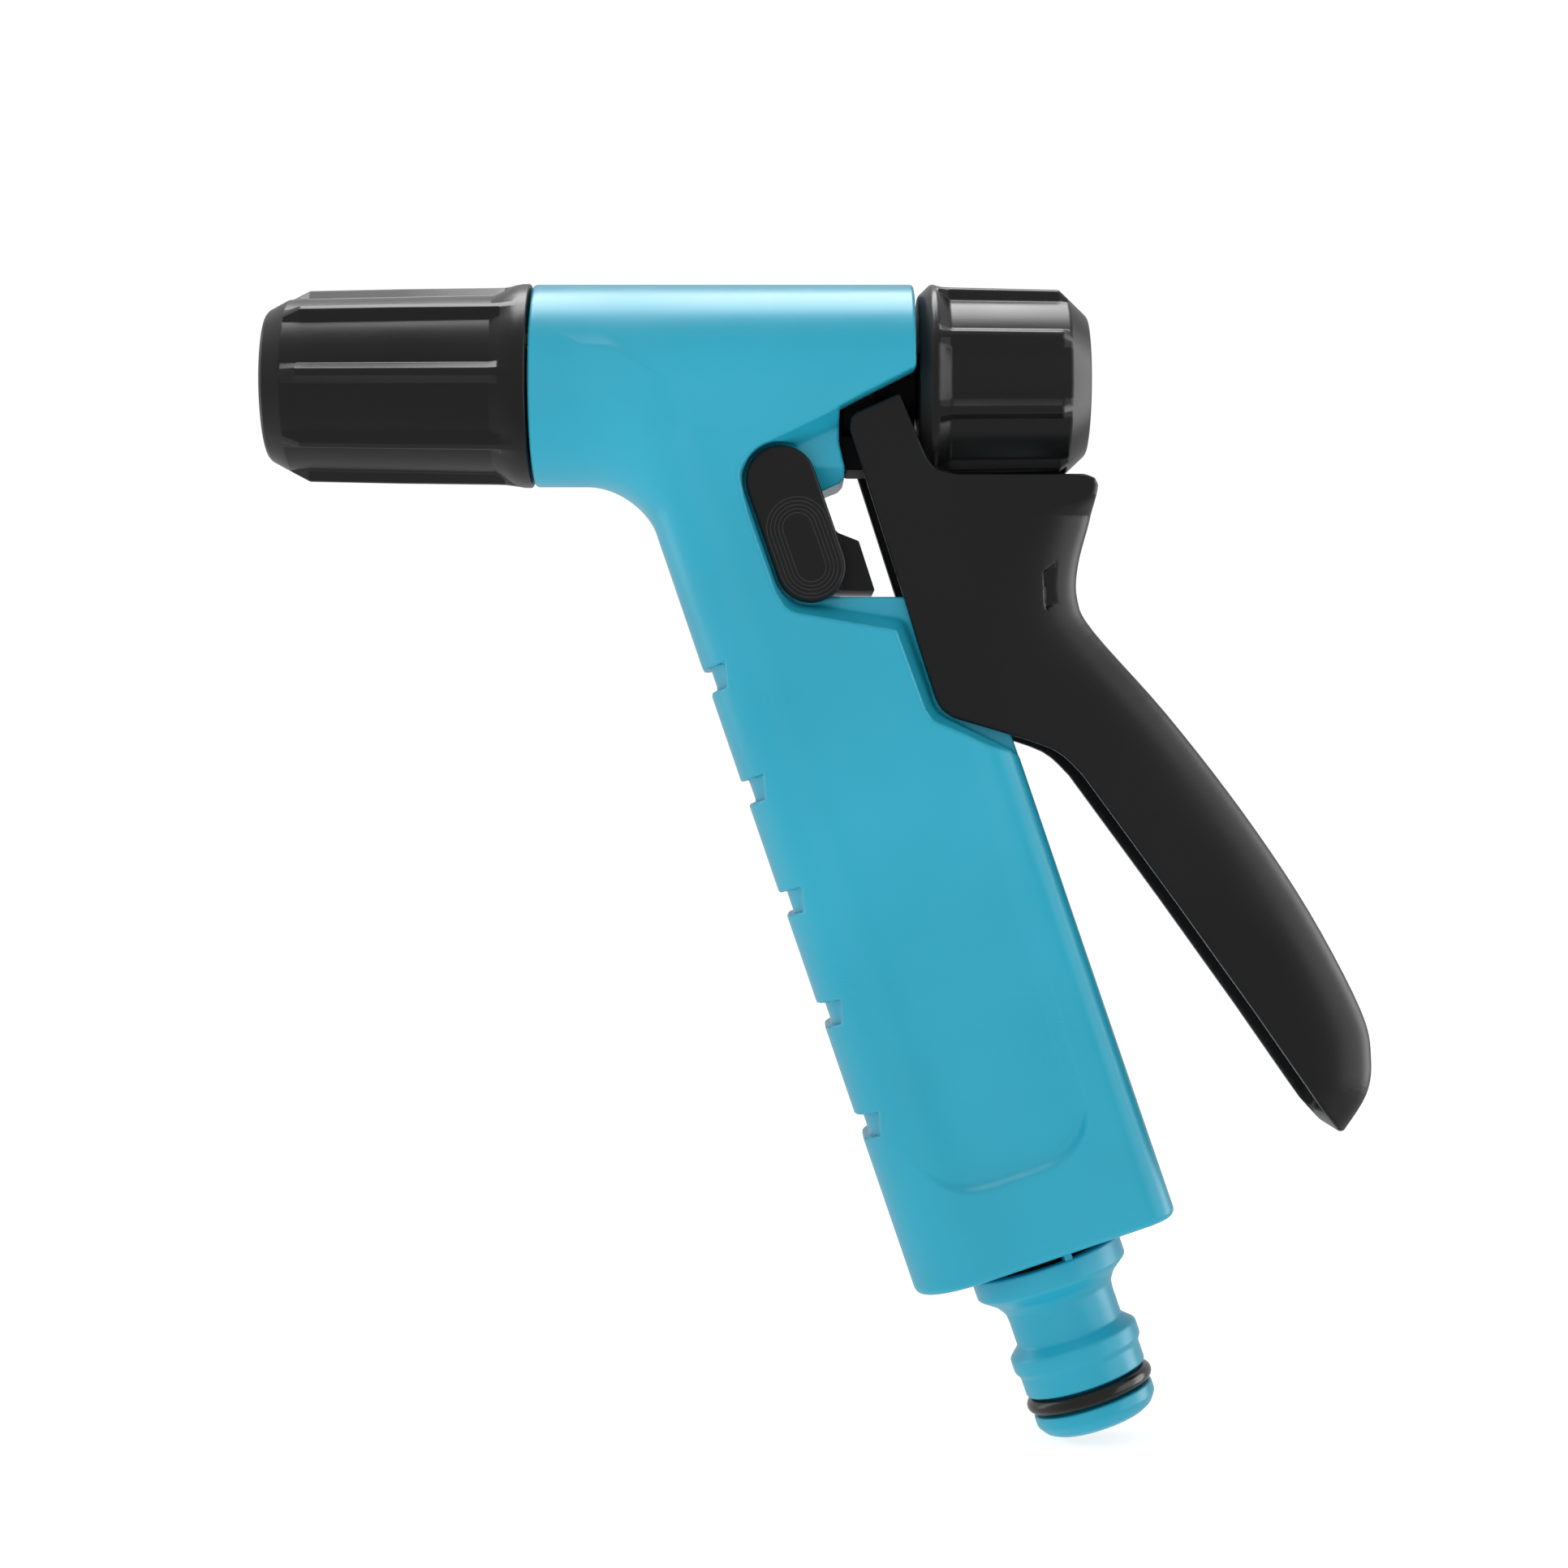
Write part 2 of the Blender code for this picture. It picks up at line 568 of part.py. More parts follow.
def make_latch():
    pivot = (LATCH_PIVOT[0], 0.0, LATCH_PIVOT[1])
    hook = [(-13.4, -18.6), (-9.9, -19.4), (-7.1, -20.5), (-5.06, -26.8), (-11.5, -26.8)]
    bridge = [(-13.4, -18.6), (-9.9, -19.4), (-9.2, -21.0), (-9.2, -26.8), (-11.5, -26.8)]
    tooth = prism("latch_hook", hook, -6.5, 6.5, pivot)
    fuse(tooth, prism("bridge_form", bridge, -8.1, 8.1))
    finish(tooth, BLACK, 0.42)
    for side, name in ((-1, "latch_button_right"), (1, "latch_button_left")):
        rings = []
        for depth, inset in ((8.4, 0.0), (10.5, 0.0), (10.9, 0.4)):
            bar = stadium(LATCH_PIVOT, LATCH_LOWER, LATCH_CAP_R - inset)
            rings.append([Vector((x, side * depth, z)) for x, z in bar])
        points, faces = ring_mesh(rings, closed=False)
        button = add_mesh(name, points, faces, pivot)
        socket = disc_stack((-10.2, 1.75), (10.2, 1.75))
        cut(button, turned(name + "_socket_tool", socket, pivot, "Y", 20))
        finish(button, BLACK, 0.42)
    pin = disc_stack((-9.9, 1.2), (-9.6, 1.5), (9.6, 1.5), (9.9, 1.2))
    finish(turned("latch_pin", pin, pivot, "Y", 20), STEEL, 0.25, 1.0)


def main():
    clear_scene()
    make_housing()
    make_bonnet()
    make_valve()
    make_head()
    make_knob()
    make_nipple()
    make_lever()
    make_latch()


main()
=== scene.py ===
"""Looks of the garden hose spray nozzle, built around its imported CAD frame.

Sizes are millimetres in the drawing's own coordinates, whose origin is on the barrel's axis at its
rear face: X back towards the knob, Z up, Y across. Rounded mouldings (body, lever) are distance
fields meshed with surface nets; turned and ribbed pieces are rings of points."""

import json
import math

import bmesh
import bpy
import numpy as np
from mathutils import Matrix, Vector


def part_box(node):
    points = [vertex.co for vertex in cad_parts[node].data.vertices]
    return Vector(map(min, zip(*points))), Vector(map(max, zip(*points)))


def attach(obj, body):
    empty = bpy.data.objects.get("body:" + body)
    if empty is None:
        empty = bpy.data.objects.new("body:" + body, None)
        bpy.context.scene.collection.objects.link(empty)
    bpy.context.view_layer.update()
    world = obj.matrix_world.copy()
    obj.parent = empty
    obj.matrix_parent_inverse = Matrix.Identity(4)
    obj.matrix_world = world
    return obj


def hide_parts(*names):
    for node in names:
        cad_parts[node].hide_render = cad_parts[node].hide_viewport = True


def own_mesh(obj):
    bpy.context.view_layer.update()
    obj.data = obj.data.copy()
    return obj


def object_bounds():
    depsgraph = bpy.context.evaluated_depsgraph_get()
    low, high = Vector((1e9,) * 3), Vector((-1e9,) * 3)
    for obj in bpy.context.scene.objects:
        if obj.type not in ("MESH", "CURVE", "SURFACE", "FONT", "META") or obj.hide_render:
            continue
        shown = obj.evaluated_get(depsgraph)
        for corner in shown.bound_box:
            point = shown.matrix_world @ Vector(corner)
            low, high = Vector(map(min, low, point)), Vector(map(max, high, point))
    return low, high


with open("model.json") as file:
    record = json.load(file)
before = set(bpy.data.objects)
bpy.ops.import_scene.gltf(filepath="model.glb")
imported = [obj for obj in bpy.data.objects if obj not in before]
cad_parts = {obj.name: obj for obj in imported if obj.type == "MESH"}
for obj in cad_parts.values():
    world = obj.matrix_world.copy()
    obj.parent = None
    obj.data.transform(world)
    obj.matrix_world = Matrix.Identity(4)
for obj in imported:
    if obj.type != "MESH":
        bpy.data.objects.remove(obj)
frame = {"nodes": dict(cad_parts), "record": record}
CAD_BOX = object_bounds()

# Shared
MM = 0.001
JOINTS = {joint["name"]: joint for joint in frame["record"]["behaviour"]["joints"]}
LEVER_PIVOT = (6.2, -38.4)
LATCH_PIVOT = (-17.0, -13.15)
LATCH_LOWER = (-13.2, -24.1)
PIVOT_M = JOINTS["lever_squeeze"]["pos_m"]
ORIGIN = np.array([PIVOT_M[0] / MM - LEVER_PIVOT[0], 0.0, PIVOT_M[2] / MM - LEVER_PIVOT[1]])

# Barrel and grip
BARREL_R = 13.0
BARREL_FRONT = -48.8
CHAMBER_R = 7.6
HOOD_BORE_R = 8.5
FOOT = np.array([16.7, 0.0, -111.4])
DOWN = np.array([0.3239, 0.0, -0.9461])
BACK = np.array([0.9461, 0.0, 0.3239])
GRIP_HALF_DEPTH = 17.2
GRIP_HALF_WIDTH = 12.4
GRIP_FRONT_ROUND = 9.0
GRIP_REAR_ROUND = 3.9
GRIP_BORE_R = 8.0
GRIP_BORE_TOP = 82.0
PASSAGE_R = 4.6
PASSAGE_FOOT = 60.0
PASSAGE_TOP = (-30.6, -5.0)
WEB_HALF = 8.1
WINDOW_LIP_TOP = -11.2
BUTTON_POCKET_R = 4.9
RECESS_SLOPE = 0.45
THROAT_ROUND = 5.7
GROOVES = 5
GROOVE_FIRST = 23.0
GROOVE_PITCH = 15.0
GROOVE_HALF = 1.5
GROOVE_DEPTH = 1.0
GROOVE_REACH = 2.6
GROOVE_LEAN = 0.25

# Lever
LEVER_HALF = 10.3
LEVER_INNER = 8.5
SPINE = 2.2
LEVER_CLEARANCE = 0.35
LEVER_TRAVEL = math.radians(10.0)
SHELF_END = -14.2
SLOT_FLOOR = 9.2
CATCH_HALF = 9.0
LEVER_SOCKET_R = 2.25
LEVER_SOCKET_HALF = 9.9
LATCH_SOCKET_R = 1.75

# Ribs of the spray head and the knob, angles in degrees
RIBS = 8
HEAD_RIB_ANGLE = 1.2
KNOB_RIB_ANGLE = 23.9
RIB_TOP_HALF = 2.0
RIB_FOOT = 6.8
POCKET_STEPS = 10

# Nipple's flange, thumb plates and valve
TAB_ANGLE = 165.0
THUMB_RINGS = 5
ROWS_BEFORE_RINGS = 7
ROWS_PER_RING = 4


# Distances, negative inside


def round_max(a, b, radius):
    """What lies in both a and b, their shared edge rounded."""
    out = np.hypot(np.maximum(a + radius, 0.0), np.maximum(b + radius, 0.0))
    return np.minimum(np.maximum(a, b), -radius) + out


def round_min(a, b, radius):
    """What lies in a or b, the corner between them filled with a fillet."""
    return -round_max(-a, -b, radius)


def cut_from(a, b, radius=0.25):
    """What lies in a and not in b."""
    return round_max(a, -b, radius)


def smooth_step(t):
    t = np.clip(t, 0.0, 1.0)
    return t * t * (3.0 - 2.0 * t)


def outline_distance(points, u, v):
    """Distance to a closed outline in the plane."""
    best = np.full(np.broadcast(u, v).shape, 1e9)
    sign = np.ones_like(best)
    for i, (bx, by) in enumerate(points):
        ax, ay = points[i - 1]
        ex, ey = bx - ax, by - ay
        wx, wy = u - ax, v - ay
        t = np.clip((wx * ex + wy * ey) / (ex * ex + ey * ey), 0.0, 1.0)
        best = np.minimum(best, (wx - ex * t) ** 2 + (wy - ey * t) ** 2)
        above, below = v >= ay, v < by
        left = ex * wy > ey * wx
        flip = (above & below & left) | (~above & ~below & ~left)
        sign = np.where(flip, -sign, sign)
    return sign * np.sqrt(best)


def capsule_distance(start, end, u, v):
    """Distance to a straight line between two points in the plane."""
    ex, ey = end[0] - start[0], end[1] - start[1]
    t = np.clip(((u - start[0]) * ex + (v - start[1]) * ey) / (ex * ex + ey * ey), 0.0, 1.0)
    return np.hypot(u - start[0] - t * ex, v - start[1] - t * ey)


def curve_through(points, steps=4):
    """A smooth line through the points given."""
    knots = [np.array(p) for p in (points[0], *points, points[-1])]
    line = []
    for p0, p1, p2, p3 in zip(knots, knots[1:], knots[2:], knots[3:]):
        for k in range(steps):
            t = k / steps
            bend = (2 * p0 - 5 * p1 + 4 * p2 - p3) * t * t + (3 * p1 - p0 - 3 * p2 + p3) * t**3
            line.append(tuple(0.5 * (2 * p1 + (p2 - p0) * t + bend)))
    line.append(tuple(points[-1]))
    return line


# Meshes


def surface_net(field, low, high, step):
    """Quads over the zero surface of a field, one point to each grid cell that it crosses."""
    axes = [np.arange(a - 1.5 * step, b + 1.5 * step, step) for a, b in zip(low, high)]
    x, y, z = axes
    shape = (len(x), len(y), len(z))
    values = np.broadcast_to(field(x[:, None, None], y[None, :, None], z[None, None, :]), shape)
    inside = values < 0
    cells = tuple(n - 1 for n in shape)
    total = np.zeros((3, math.prod(cells)))
    hits = np.zeros(math.prod(cells))
    quads = []
    for axis in range(3):
        first = [slice(None)] * 3
        second = [slice(None)] * 3
        first[axis] = slice(0, -1)
        second[axis] = slice(1, None)
        start_inside = inside[tuple(first)]
        crossing = np.argwhere(start_inside != inside[tuple(second)])
        one, two = (axis + 1) % 3, (axis + 2) % 3
        fits = crossing[:, one] > 0
        fits &= crossing[:, two] > 0
        fits &= crossing[:, one] < cells[one]
        fits &= crossing[:, two] < cells[two]
        crossing = crossing[fits]
        a = values[tuple(crossing.T)]
        beyond = crossing.copy()
        beyond[:, axis] += 1
        b = values[tuple(beyond.T)]
        where = crossing.astype(float)
        where[:, axis] += a / (a - b)
        corners = []
        for back_one, back_two in ((0, 0), (1, 0), (1, 1), (0, 1)):
            cell = crossing.copy()
            cell[:, one] -= back_one
            cell[:, two] -= back_two
            flat = np.ravel_multi_index(cell.T, cells)
            corners.append(flat)
            for k in range(3):
                total[k] += np.bincount(flat, where[:, k], minlength=len(hits))
            hits += np.bincount(flat, minlength=len(hits))
        corners = np.array(corners).T
        outward = start_inside[tuple(crossing.T)]
        corners[~outward] = corners[~outward][:, ::-1]
        quads.append(corners)
    used = np.flatnonzero(hits)
    number = np.full(len(hits), -1)
    number[used] = np.arange(len(used))
    start = np.array([axis[0] for axis in axes])
    points = start + (total[:, used] / hits[used]).T * step
    return points, number[np.concatenate(quads)]


def gradient(field, points, reach=0.04):
    slope = np.empty_like(points)
    for k in range(3):
        ahead = points.copy()
        behind = points.copy()
        ahead[:, k] += reach
        behind[:, k] -= reach
        slope[:, k] = (field(*ahead.T) - field(*behind.T)) / (2 * reach)
    return slope


def moulded(name, field, low, high, step):
    """A piece from a distance field: its points are pulled on to the surface, and its normals are
    the field's own."""
    points, quads = surface_net(field, low, high, step)
    for _ in range(2):
        slope = gradient(field, points)
        size = np.maximum((slope**2).sum(axis=1), 0.2)
        move = (field(*points.T) / size)[:, None] * slope
        length = np.maximum(np.linalg.norm(move, axis=1), 1e-9)
        points -= move * np.minimum(1.0, 0.6 * step / length)[:, None]
    slope = gradient(field, points)
    slope /= np.maximum(np.linalg.norm(slope, axis=1), 1e-9)[:, None]
    piece = add_mesh(name, points, quads.tolist())
    piece.data.shade_smooth()
    piece.data.normals_split_custom_set_from_vertices(slope.tolist())
    return piece


def add_mesh(name, points, faces):
    """An object at the world's origin from drawing points."""
    mesh = bpy.data.meshes.new(name)
    placed = (np.asarray(points, dtype=float) + ORIGIN) * MM
    mesh.from_pydata(placed.tolist(), [], faces)
    piece = bpy.data.objects.new(name, mesh)
    bpy.context.collection.objects.link(piece)
    return piece


def ring_mesh(name, rings, closed, sharp=30.0):
    """Equal rings joined end to end, or capped."""
    count = len(rings[0])
    faces = []
    for row in range(len(rings) if closed else len(rings) - 1):
        here = row * count
        there = (row + 1) % len(rings) * count
        for i in range(count):
            j = (i + 1) % count
            faces.append((here + i, here + j, there + j, there + i))
    if not closed:
        faces.append(tuple(range(count)))
        faces.append(tuple(range((len(rings) - 1) * count, len(rings) * count)))
    piece = add_mesh(name, [p for ring in rings for p in ring], faces)
    tidy = bmesh.new()
    tidy.from_mesh(piece.data)
    bmesh.ops.recalc_face_normals(tidy, faces=tidy.faces)
    tidy.to_mesh(piece.data)
    tidy.free()
    piece.data.shade_smooth()
    piece.data.set_sharp_from_angle(angle=math.radians(sharp))
    return piece


def rounded_profile(profile, radius=0.25, steps=3):
    """The profile with every corner turned into a short curve."""
    out = []
    count = len(profile)
    for i in range(count):
        p = np.array(profile[i])
        a = np.array(profile[i - 1]) - p
        b = np.array(profile[(i + 1) % count]) - p
        la, lb = np.linalg.norm(a), np.linalg.norm(b)
        reach = min(radius, la * 0.45, lb * 0.45)
        start, end = p + a / la * reach, p + b / lb * reach
        for k in range(steps + 1):
            t = k / steps
            out.append(tuple((1 - t) ** 2 * start + 2 * t * (1 - t) * p + t * t * end))
    return out


AXES = {
    "X": (np.array([1.0, 0, 0]), np.array([0, 1.0, 0]), np.array([0, 0, 1.0])),
    "GRIP": (DOWN, np.array([0, 1.0, 0]), BACK),
}


def turned(name, profile, along="X", start=(0.0, 0.0, 0.0), segments=96, sharp=40.0):
    """A turned piece from a closed profile of (distance along the axis, radius)."""
    axis, side, other = AXES[along]
    turn = np.linspace(0, 2 * math.pi, segments, endpoint=False)[:, None]
    out = np.cos(turn) * side + np.sin(turn) * other
    rings = [np.array(start) + axis * d + out * r for d, r in profile]
    return ring_mesh(name, rings, True, sharp)


def bevel(piece, width, segments=2, angle=28.0):
    step = piece.modifiers.new("bevel", "BEVEL")
    step.width = width * MM
    step.segments = segments
    step.limit_method = "ANGLE"
    step.angle_limit = math.radians(angle)
    step.harden_normals = True


# Outlines in the (x, z) plane


RECESS = [(14.0, 7.7), (-9.6, -4.1), (-17.6, -7.7)]
RECESS += curve_through([(-20.35, -9.2), (-22.4, -12.2), (-21.4, -17.5)], 5)
RECESS += [(-17.9, -27.4)]
RECESS += curve_through([(-16.8, -29.1), (-15.6, -30.0), (-13.9, -30.4)], 3)
RECESS += [(-2.7, -32.3), (0.87, -42.1)]
RECESS += curve_through([(1.9, -43.6), (3.6, -44.4), (8.2, -46.3)], 4)
RECESS += [(13.8, -48.6), (34.0, -48.6), (34.0, 7.7)]

GAP = [(14.0, 7.83), (-9.6, -4.1), (-9.6, -8.2), (-8.9, -11.2), (-8.9, -12.4), (-9.6, -13.2)]
GAP += [(-11.7, -14.1), (-14.4, -15.4), (-15.0, -16.8), (-12.5, -27.7), (34.0, -27.7), (34.0, 7.83)]

BACK_LINE = curve_through(
    [
        (22.9, -15.4), (22.4, -18.2), (21.0, -23.6), (20.9, -27.9), (22.9, -31.9), (32.2, -42.4),
        (42.0, -55.0), (50.4, -67.6), (57.0, -80.2), (58.3, -86.3), (57.7, -91.0), (54.7, -95.8),
    ],
    5,
)
LEVER = [(-8.3, -6.7), (-8.2, -5.2), (-7.4, -4.5), (-2.0, -2.1)]
LEVER += curve_through([(1.3, -10.0), (2.6, -11.6), (5.3, -12.3)], 4)
LEVER += [(21.3, -12.3), (22.6, -12.8), (23.2, -13.7)]
LEVER += BACK_LINE
LEVER += [(53.9, -95.6), (51.6, -92.9), (43.0, -80.5), (32.9, -66.4)]
LEVER += curve_through([(21.1, -50.3), (17.6, -47.2), (11.2, -45.0)], 4)
LEVER += curve_through([(4.8, -43.1), (3.3, -42.0), (2.5, -40.6)], 3)
LEVER += [(0.5, -34.5), (-1.5, -27.9)]
BEHIND = [(23.2, -13.7), *BACK_LINE, (52.0, -99.9), (-60.0, -99.9), (-60.0, 20.0), (23.2, 20.0)]
SLOT = [(18.9, -22.5), (18.4, -28.0), (16.45, -29.3), (16.1, -24.8)]
CATCH = [(-0.8, -17.0), (1.0, -16.6), (1.6, -24.6), (0.0, -24.8)]


# Body


def grip_axes(x, z):
    """Place along the grip's depth, and height above its foot."""
    across = (x - FOOT[0]) * BACK[0] + (z - FOOT[2]) * BACK[2]
    height = -((x - FOOT[0]) * DOWN[0] + (z - FOOT[2]) * DOWN[2])
    return across, height


def grip_section(u, a):
    """The grip's section: long front rounds, short rear rounds."""
    front = round_max(-u - GRIP_HALF_DEPTH, a - GRIP_HALF_WIDTH, GRIP_FRONT_ROUND)
    rear = round_max(u - GRIP_HALF_DEPTH, a - GRIP_HALF_WIDTH, GRIP_REAR_ROUND)
    return np.where(u < 0, front, rear)


def panel_depth(u, w):
    """How deep the grip's side panel lies: its foot is an arc, its rear edge a soft crease."""
    foot_line = 10.6 + 0.00032 * (u + 0.5) ** 4
    rear_line = 11.2 + 2.3 * smooth_step((w - 15.0) / 60.0)
    inside = smooth_step((w - foot_line) / 1.6)
    inside = inside * smooth_step((rear_line - u) / 2.2)
    inside = inside * smooth_step((u + 14.0) / 9.0)
    return inside * (1.05 - 0.7 * smooth_step((w - 13.0) / 40.0))


def lever_sweep(x, z):
    """Distance to the lever's outline at rest, half squeezed and fully squeezed, taken together."""
    px, pz = x - LEVER_PIVOT[0], z - LEVER_PIVOT[1]
    nearest = outline_distance(LEVER, x, z)
    for turn in (LEVER_TRAVEL / 2, LEVER_TRAVEL):
        back_x = px * math.cos(turn) - pz * math.sin(turn) + LEVER_PIVOT[0]
        back_z = px * math.sin(turn) + pz * math.cos(turn) + LEVER_PIVOT[1]
        nearest = np.minimum(nearest, outline_distance(LEVER, back_x, back_z))
    return nearest


def body_field(x, y, z):
    """Distance to the body: barrel and grip, less the recess round the lever and latch, the open
    window under the hood, the finger grooves, the bores and the pin sockets."""
    a = np.abs(y)
    u, w = grip_axes(x, z)
    ring = np.hypot(y, z)
    barrel = round_max(ring - BARREL_R, np.abs(x - BARREL_FRONT / 2) + BARREL_FRONT / 2, 0.5)
    grip = round_max(grip_section(u, a + panel_depth(u, w)), -w, 1.1)
    grip = np.maximum(grip, z + 1.0)
    form = round_min(barrel, grip, 0.8 + THROAT_ROUND * smooth_step((-u - 9.0) / 7.0))
    form = round_max(form, a - BARREL_R, 0.3)
    recess = outline_distance(RECESS, x, z) + RECESS_SLOPE * (GRIP_HALF_WIDTH - a)
    recess = np.minimum(recess, capsule_distance(LATCH_PIVOT, LATCH_LOWER, x, z) - BUTTON_POCKET_R)
    recess = np.minimum(recess, lever_sweep(x, z) - LEVER_CLEARANCE)
    recess = round_max(recess, WEB_HALF - a, 0.3)
    form = cut_from(form, recess, 0.3)
    form = cut_from(form, outline_distance(GAP, x, z), 0.35)
    lip = np.maximum(WEB_HALF - 0.8 * (WINDOW_LIP_TOP - z) - a, np.maximum(-17.0 - x, -17.5 - z))
    form = cut_from(form, np.maximum(lip, z - WINDOW_LIP_TOP), 0.2)
    for i in range(GROOVES):
        above = w - GROOVE_FIRST - GROOVE_PITCH * i
        band = np.abs(above) - GROOVE_HALF
        end = u + GRIP_HALF_DEPTH - GROOVE_REACH - GROOVE_LEAN * above
        groove = round_max(np.maximum(band, end), -grip_section(u, a) - GROOVE_DEPTH, 0.2)
        form = cut_from(form, groove, 0.25)
    chamber = np.minimum(ring - CHAMBER_R, np.maximum(ring - HOOD_BORE_R, -9.5 - x))
    form = cut_from(form, chamber, 0.2)
    across = np.hypot(y, u)
    bore = np.maximum(across - GRIP_BORE_R, w - GRIP_BORE_TOP)
    passage_u = u - grip_axes(*PASSAGE_TOP)[0]
    passage_ends = np.maximum(z - PASSAGE_TOP[1], PASSAGE_FOOT - w)
    passage = np.maximum(np.hypot(y, passage_u) - PASSAGE_R, passage_ends)
    form = cut_from(form, np.minimum(bore, passage), 0.2)
    for (px, pz), radius in ((LEVER_PIVOT, LEVER_SOCKET_R), (LATCH_PIVOT, LATCH_SOCKET_R)):
        form = cut_from(form, np.hypot(x - px, z - pz) - radius, 0.15)
    return form


# Lever


def lever_field(x, y, z):
    """Distance to the lever: a channel, crowned along its back below its top shelf, with a catch
    rib, a slot in each side and a socket for the pin."""
    a = np.abs(y)
    back = outline_distance(BEHIND, x, z)
    crown = smooth_step((-14.6 - z) / 3.0)
    form = round_max(back * (1.0 - 0.5 * crown), a - LEVER_HALF, 1.0 + 3.5 * crown)
    hollow = round_max(back + SPINE, a - LEVER_INNER, 0.3 + 2.1 * crown)
    hollow = np.minimum(hollow, np.maximum(a - LEVER_INNER, SHELF_END - z))
    form = cut_from(form, hollow, 0.3)
    form = round_max(form, outline_distance(LEVER, x, z), 0.35)
    rib = np.maximum(outline_distance(CATCH, x, z), a - CATCH_HALF)
    form = np.minimum(form, rib)
    form = cut_from(form, np.maximum(outline_distance(SLOT, x, z), SLOT_FLOOR - a), 0.15)
    from_pin = np.hypot(x - LEVER_PIVOT[0], z - LEVER_PIVOT[1])
    socket = np.maximum(from_pin - LEVER_SOCKET_R, a - LEVER_SOCKET_HALF)
    return cut_from(form, socket, 0.1)


# Latch


def stadium(a, b, radius, steps=20):
    """The outline of a bar with round ends, in the (x, z) plane."""
    lean = math.atan2(b[1] - a[1], b[0] - a[0])
    line = []
    for centre, first in ((a, lean + math.pi / 2), (b, lean - math.pi / 2)):
        for i in range(steps + 1):
            turn = first + math.pi * i / steps
            line.append((centre[0] + radius * math.cos(turn), centre[1] + radius * math.sin(turn)))
    return line


def latch_button(name, side):
    """One side plate: a soft edge, and fine rings where the thumb goes."""
    low, high, edge = 8.4, 10.9, 4.43
    lower = np.array(LATCH_LOWER)
    upper = np.array(LATCH_PIVOT)
    step_up = lower + (upper - lower) / np.linalg.norm(upper - lower) * 5.2
    rings = [(upper, edge - 0.15, low), (upper, edge, low + 0.15), (upper, edge, high - 0.5)]
    for k in range(1, 5):
        turn = math.pi / 2 * k / 4
        rings.append((upper, edge - 0.45 * (1 - math.cos(turn)), high - 0.5 + 0.45 * math.sin(turn)))
    top = high - 0.05
    for k in range(THUMB_RINGS):
        radius = 3.9 - 0.5 * k
        for off, sink in ((0.07, 0.0), (0.025, 0.1), (-0.025, 0.1), (-0.07, 0.0)):
            rings.append((step_up, radius + off, top - sink))
    rings.append((step_up, 1.0, top))
    rings.append((step_up, 0.3, top))
    loops = []
    for centre, radius, depth in rings:
        loops.append([(x, side * depth, z) for x, z in stadium(tuple(centre), LATCH_LOWER, radius)])
    return ring_mesh(name, loops, False, 35.0)


def paint_ring_highlights(button):
    """The faces of a button's fine rings get a paler grey: a painted highlight where light catches them.
    """
    button.data.materials.append(RING_HIGHLIGHT)
    per_row = len(stadium(LATCH_PIVOT, LATCH_LOWER, 1.0))
    for ring in range(THUMB_RINGS):
        first_row = ROWS_BEFORE_RINGS + ROWS_PER_RING * ring
        for row in range(first_row, first_row + ROWS_PER_RING - 1):
            for face in button.data.polygons[row * per_row:(row + 1) * per_row]:
                face.material_index = 1


def slab(name, outline, half):
    """An outline pushed across, the same both sides of the middle."""
    rings = [[(x, y, z) for x, z in outline] for y in (-half, half)]
    return ring_mesh(name, rings, False)


def latch_hook():
    """The catch tooth and the bridge that joins it to both buttons."""
    top = [(-13.4, -18.6), (-9.9, -19.4)]
    hook = [*top, (-7.1, -20.5), (-5.06, -26.8), (-9.2, -26.8), (-11.5, -26.8)]
    bridge = [*top, (-9.3, -20.5), (-9.2, -26.8), (-9.3, -26.8), (-11.5, -26.8)]
    across = ((-8.1, bridge), (-6.5, bridge), (-6.5, hook), (6.5, hook), (6.5, bridge), (8.1, bridge))
    loops = [[(x, y, z) for x, z in outline] for y, outline in across]
    piece = ring_mesh("latch_catch", loops, False)
    bevel(piece, 0.25)
    return piece


# Ribbed pieces


def fluted(name, stations, bore, rib_angle):
    """A turned piece with ribs: stations are (x, radius on a rib, radius between ribs), and bore
    is the inside from the last station back to the first."""
    period = 360.0 / RIBS
    columns = []
    for rib in range(RIBS):
        middle = rib_angle + period * rib
        columns += [(middle + off, 1.0) for off in (-RIB_TOP_HALF, 0.0, RIB_TOP_HALF)]
        for k in range(POCKET_STEPS + 1):
            columns.append((middle + RIB_FOOT + (period - 2 * RIB_FOOT) * k / POCKET_STEPS, 0.0))
    turn = np.radians([c[0] for c in columns])
    on_rib = np.array([c[1] for c in columns])
    rings = []
    for x, ridge, between in stations + [(x, radius, radius) for x, radius in bore]:
        radius = between + (ridge - between) * on_rib
        ring = [np.full(len(turn), x), -radius * np.cos(turn), radius * np.sin(turn)]
        rings.append(np.array(ring).T)
    piece = ring_mesh(name, rings, True, 22.0)
    bevel(piece, 0.3, 2, 18.0)
    return piece


def spray_head():
    stations = [
        (-49.1, 12.8, 12.8), (-49.25, 13.1, 13.1), (-50.2, 13.08, 13.08), (-51.2, 12.95, 12.9),
        (-52.6, 12.78, 12.22), (-53.9, 12.74, 11.6), (-66.0, 12.6, 11.35), (-77.9, 12.35, 11.1),
        (-80.2, 11.12, 11.08), (-82.7, 9.75, 9.75), (-83.1, 9.3, 9.3),
    ]
    bore = [(-83.1, 8.6), (-79.2, 8.6), (-79.2, 9.1), (-68.0, 9.1), (-67.0, 9.95), (-49.1, 9.95)]
    return fluted("spray_head", stations, bore, HEAD_RIB_ANGLE)


